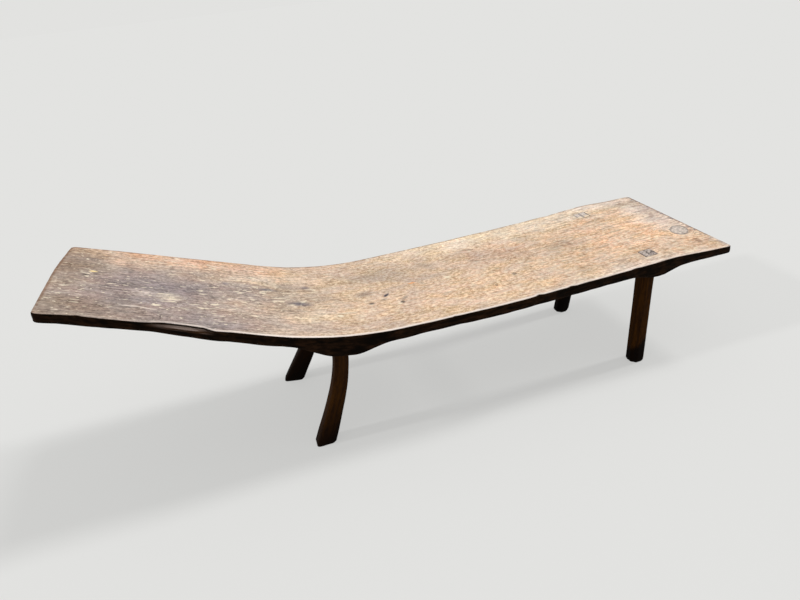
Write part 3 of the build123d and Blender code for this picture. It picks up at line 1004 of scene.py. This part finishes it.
def head_leg_bar(name, sizes, grow=0.0):
    """A head leg that curves out towards the head end, or its seat in the plank where it is grown."""
    sole, seat = SOLES[name], sizes.seat_of_head_leg
    top, turn = head_leg_top(name, sizes), HEAD_LEGS[name][3]
    worn = 0.0 if grow else 1.0

    def place(x, y, t):
        angle, ring = np.arctan2(y, x), np.hypot(x, y)
        on_shaft, share, up_stub = leg_rows(t, *HEAD_LEG_ROWS)
        share = np.clip(share, 0.0, 1.0)
        z = seat * share
        centre, half = head_leg_line(name, sizes, share)
        hewn = adze_marks(angle, z, HEAD_LEG_MARKS, sole.x) - chamfered(z, HEAD_LEG_CHAMFER)
        hewn = worn * hewn + grow
        a, b = np.cos(angle), np.sin(angle)
        edge = (np.abs(a) ** SQUARENESS + np.abs(b) ** SQUARENESS) ** (-1 / SQUARENESS)
        a, b = edge * a * ring, edge * b * ring
        out, off = (half + hewn) * a, (sizes.head_leg_depth / 2 + hewn) * b
        turned = turn * (1 - share) ** 2
        px = centre + out * np.cos(turned) + off * np.sin(turned)
        py = sole.y + off * np.cos(turned) - out * np.sin(turned)
        stub = STUB_HALF_WIDTH + grow * STUB_SHARE
        px = np.where(on_shaft, px, top + stub * a)
        py = np.where(on_shaft, py, sole.y + stub * b)
        return px, py, np.where(on_shaft, z, seat + up_stub * (STUB_LENGTH + grow * STUB_SHARE))

    return mould(new_bar(HEAD_LEG_FACES, HEAD_LEG_ROWS[1]), place)


class DAYBED_OT_plank(bpy.types.Operator):
    """Carve the plank, with its bend, its swellings and the seats for the legs"""

    bl_idname = "daybed.plank"
    bl_label = "Carve plank"
    bl_options = {"REGISTER", "UNDO"}

    def execute(self, context):
        sizes = context.scene.daybed_sizes
        plank = PlankShape(sizes)
        half_length = (plank.foot - plank.head) / 2

        def place(u, v, w):
            x, near = crowded(u) * half_length, v < 0
            half = np.where(near, plank.half_width(x, "near"), plank.half_width(x, "far"))
            dent = np.where(near, plank.dent(x, "near"), plank.dent(x, "far"))
            half = half - dent * ease(w, *SPLIT_LEDGE) - np.where(near, plank.undercut(x, w), 0.0)
            y = crowded(v) * half
            rim = np.minimum(half_length - np.abs(x), half * (1 - np.abs(crowded(v))))
            x = x + plank.head_inset(x, y) - plank.head_lean(x, w)
            arris = sizes.arris * (1 + lumps(x, y, 0.0, ARRIS_LUMPS))
            lower_arris = sizes.lower_arris * (1 + lumps(x, y, 0.0, LOWER_ARRIS_LUMPS))
            top = plank.top(x, y) - rounded_edge(rim, arris)
            base = plank.underside(x, y) + rounded_edge(rim, lower_arris)
            z = base + (top - base) * w
            bulge = lumps(x, y, z, WALL_LUMPS) + WALL_BULGE * w * (1 - w)
            bulge = np.where((w > 1 - ON_WALL) & (w < ON_WALL), bulge, 0.0)
            y = y + np.where(np.abs(v) > ON_WALL, np.sign(v) * bulge, 0.0)
            x = x + np.where(np.abs(u) > ON_WALL, np.sign(u) * bulge, 0.0)
            return x, y, z

        piece = to_object(mould(new_block(*PLANK_FACES), place), "carved_plank")
        cutters = []
        for side in SIDES:
            gap = FAR_TENON_GAP if side == "far" else 0.0
            foot = foot_leg_bar(f"foot_leg_{side}", sizes, plank, FOOT_LEG_ROOM, CUTTER_PAST, gap)
            head = head_leg_bar(f"head_leg_{side}", sizes, HEAD_LEG_ROOM)
            cutters += [to_object(foot, f"foot_cutter_{side}"), to_object(head, f"head_cutter_{side}")]
        cut(piece, cutters)

        x, y, z = points_of(piece)
        near, far = plank.half_width(x, "near") - plank.dent(x, "near"), plank.half_width(x, "far")
        end = half_length - np.abs(x - plank.head_inset(x, y))
        rim = np.minimum(end, np.where(y < 0, near, far) - np.abs(y))
        height = (z - plank.underside(x, y)) / plank.thickness(x)
        low, high = BARED_BAND
        bared = plank.split(x) ** 2 * (y < BARED_STRIP) * ease(height, *low) * (1 - ease(height, *high))
        keep(piece, "grain", (plank.along(x), y, z - plank.top(x, y)))
        keep(piece, "carving", (rim, end, bared))
        finish_piece(piece, "bed_plank", worn_plank_finish())
        return {"FINISHED"}


class DAYBED_OT_foot_legs(bpy.types.Operator):
    """Hew the two eight-sided foot legs, with their through tenons and saw cuts"""

    bl_idname = "daybed.foot_legs"
    bl_label = "Hew foot legs"
    bl_options = {"REGISTER", "UNDO"}

    def execute(self, context):
        sizes = context.scene.daybed_sizes
        plank = PlankShape(sizes)
        finish = leg_finish("foot_leg_wood")
        for side in SIDES:
            node = f"foot_leg_{side}"
            piece = to_object(foot_leg_bar(node, sizes, plank), f"hewn_{node}")
            kerf = to_object(wedge_bar(node, sizes, plank, KERF_ROOM), f"kerf_{side}")
            cut(piece, [kerf])
            sole, lean = leg_axis(node)
            x, y, z = points_of(piece)
            end = ease(z - sizes.seat_of_foot_leg, *TENON_END)
            keep(piece, "grain", (z, x - sole.x - lean.x * z, y - sole.y - lean.y * z))
            # The third number marks the far leg, which its finish darkens with painted shade
            keep(piece, "carving", (z, end, float(side == "far")))
            finish_piece(piece, node, finish)
        return {"FINISHED"}


class DAYBED_OT_wedges(bpy.types.Operator):
    """Drive a wedge into each foot leg's tenon"""

    bl_idname = "daybed.wedges"
    bl_label = "Drive wedges"
    bl_options = {"REGISTER", "UNDO"}

    def execute(self, context):
        sizes = context.scene.daybed_sizes
        plank = PlankShape(sizes)
        finish = leg_finish("wedge_wood")
        for side in SIDES:
            node = f"foot_leg_{side}"
            piece = to_object(wedge_bar(node, sizes, plank), f"driven_wedge_{side}")
            x, y, z = points_of(piece)
            keep(piece, "grain", (z, x, y))
            # The third number marks the far wedge, which its finish darkens a little with painted shade
            keep(piece, "carving", (z, WEDGE_GREY[side], float(side == "far")))
            finish_piece(piece, node.replace("leg", "wedge"), finish)
        return {"FINISHED"}


class DAYBED_OT_head_legs(bpy.types.Operator):
    """Hew the two curved legs under the bend"""

    bl_idname = "daybed.head_legs"
    bl_label = "Hew head legs"
    bl_options = {"REGISTER", "UNDO"}

    def execute(self, context):
        sizes = context.scene.daybed_sizes
        finish = leg_finish("head_leg_wood", sooty=-0.02, clean=0.20)
        for side in SIDES:
            node = f"head_leg_{side}"
            piece = to_object(head_leg_bar(node, sizes), f"hewn_{node}")
            x, y, z = points_of(piece)
            middle = head_leg_line(node, sizes, np.clip(z / sizes.seat_of_head_leg, 0.0, 1.0))[0]
            keep(piece, "grain", (z, x - middle, y))
            # The third number marks the far leg, which its finish darkens with painted shade
            keep(piece, "carving", (z, 0.0, float(side == "far")))
            finish_piece(piece, node, finish)
        return {"FINISHED"}


# The studio's soft lamps: name, energy, size in degrees and where each one stands
LAMPS = (
    ("overhead", 0.86, 12, (0.54, 0.12, 1.0)),
    ("head_side", 0.88, 4, (-1.0, 0.05, 0.60)),
    ("foot_side", 1.95, 6.5, (1.0, 0.045, 0.36)),
)
SKY = (0.43, 0.43, 0.43)  # the light that comes from all round
FLOOR_HALF = 60.0
FLOOR_GLOW = 0.62  # how much of the floor's paleness doesn't depend on the lamps
CAMERA_PLACE = (-0.492, -1.701, 1.257)
CAMERA_RIGHT, CAMERA_UP = (0.9491, -0.2993, -0.0981), (0.2248, 0.4256, 0.8765)
LENS, SENSOR = 27.0, 36.0  # in millimetres


class DAYBED_OT_stage(bpy.types.Operator):
    """Lay a pale floor, light it softly and set up the camera"""

    bl_idname = "daybed.stage"
    bl_label = "Set stage"
    bl_options = {"REGISTER", "UNDO"}

    def execute(self, context):
        scene = context.scene
        scene.view_settings.view_transform = "Standard"
        self.floor(scene)
        self.light(scene)
        camera = bpy.data.objects.new("camera", bpy.data.cameras.new("camera"))
        camera.data.lens, camera.data.sensor_width = LENS, SENSOR
        right, up = Vector(CAMERA_RIGHT), Vector(CAMERA_UP)
        turned = Matrix((right, up, right.cross(up))).transposed().to_4x4()
        camera.matrix_world = Matrix.Translation(CAMERA_PLACE) @ turned
        scene.collection.objects.link(camera)
        scene.camera = camera
        return {"FINISHED"}

    def floor(self, scene):
        """A floor as wide as the view, which keeps the daybed's shadow."""
        bm = bmesh.new()
        bmesh.ops.create_grid(bm, x_segments=1, y_segments=1, size=FLOOR_HALF)
        mesh = bpy.data.meshes.new("floor")
        bm.to_mesh(mesh)
        bm.free()
        floor = bpy.data.objects.new("floor", mesh)
        scene.collection.objects.link(floor)
        f = Finish(bpy.data.materials.new("floor"))
        pale = paint_of("floor")
        matt = f.node("ShaderNodeBsdfDiffuse", None, {"Color": pale})
        glow = f.node("ShaderNodeEmission", None, {"Color": pale, "Strength": 1.0})
        surface = f.node("ShaderNodeMixShader", None, {0: f.seen() * FLOOR_GLOW, 1: matt, 2: glow})
        f.node("ShaderNodeOutputMaterial", None, {"Surface": surface})
        mesh.materials.append(f.owner)

    def light(self, scene):
        """Even light from all round, and soft lamps over and beside the daybed."""
        scene.world = bpy.data.worlds.new("studio")
        f = Finish(scene.world)
        colour = f.mix(f.seen(), SKY, paint_of("floor"))
        glow = f.node("ShaderNodeBackground", None, {"Color": colour, "Strength": 1.0})
        f.node("ShaderNodeOutputWorld", None, {"Surface": glow})
        for name, energy, angle, towards in LAMPS:
            lamp = bpy.data.lights.new(name, "SUN")
            lamp.energy = energy
            lamp.angle = radians(angle)
            sun = bpy.data.objects.new(name, lamp)
            sun.rotation_euler = Vector(towards).to_track_quat("Z", "Y").to_euler()
            scene.collection.objects.link(sun)


class DAYBED_PT_panel(bpy.types.Panel):
    """The daybed's tools, sizes and colours in the sidebar"""

    bl_label = "Carved daybed"
    bl_idname = "DAYBED_PT_panel"
    bl_space_type = "VIEW_3D"
    bl_region_type = "UI"
    bl_category = "Daybed"

    def draw(self, context):
        for operator in OPERATORS:
            self.layout.operator(operator.bl_idname)
        for group in (context.scene.daybed_sizes, context.scene.daybed_colours):
            box = self.layout.box()
            for name in group.__annotations__:
                box.prop(group, name)


OPERATORS = (DAYBED_OT_plank, DAYBED_OT_foot_legs, DAYBED_OT_wedges, DAYBED_OT_head_legs, DAYBED_OT_stage)
CLASSES = (DaybedSizes, DaybedColours, *OPERATORS, DAYBED_PT_panel)


def register():
    for cls in CLASSES:
        bpy.utils.register_class(cls)
    bpy.types.Scene.daybed_sizes = PointerProperty(type=DaybedSizes)
    bpy.types.Scene.daybed_colours = PointerProperty(type=DaybedColours)


def unregister():
    del bpy.types.Scene.daybed_colours
    del bpy.types.Scene.daybed_sizes
    for cls in reversed(CLASSES):
        bpy.utils.unregister_class(cls)


def main():
    register()
    bpy.ops.daybed.plank()
    bpy.ops.daybed.foot_legs()
    bpy.ops.daybed.wedges()
    bpy.ops.daybed.head_legs()
    bpy.ops.daybed.stage()


if __name__ == "__main__":
    main()
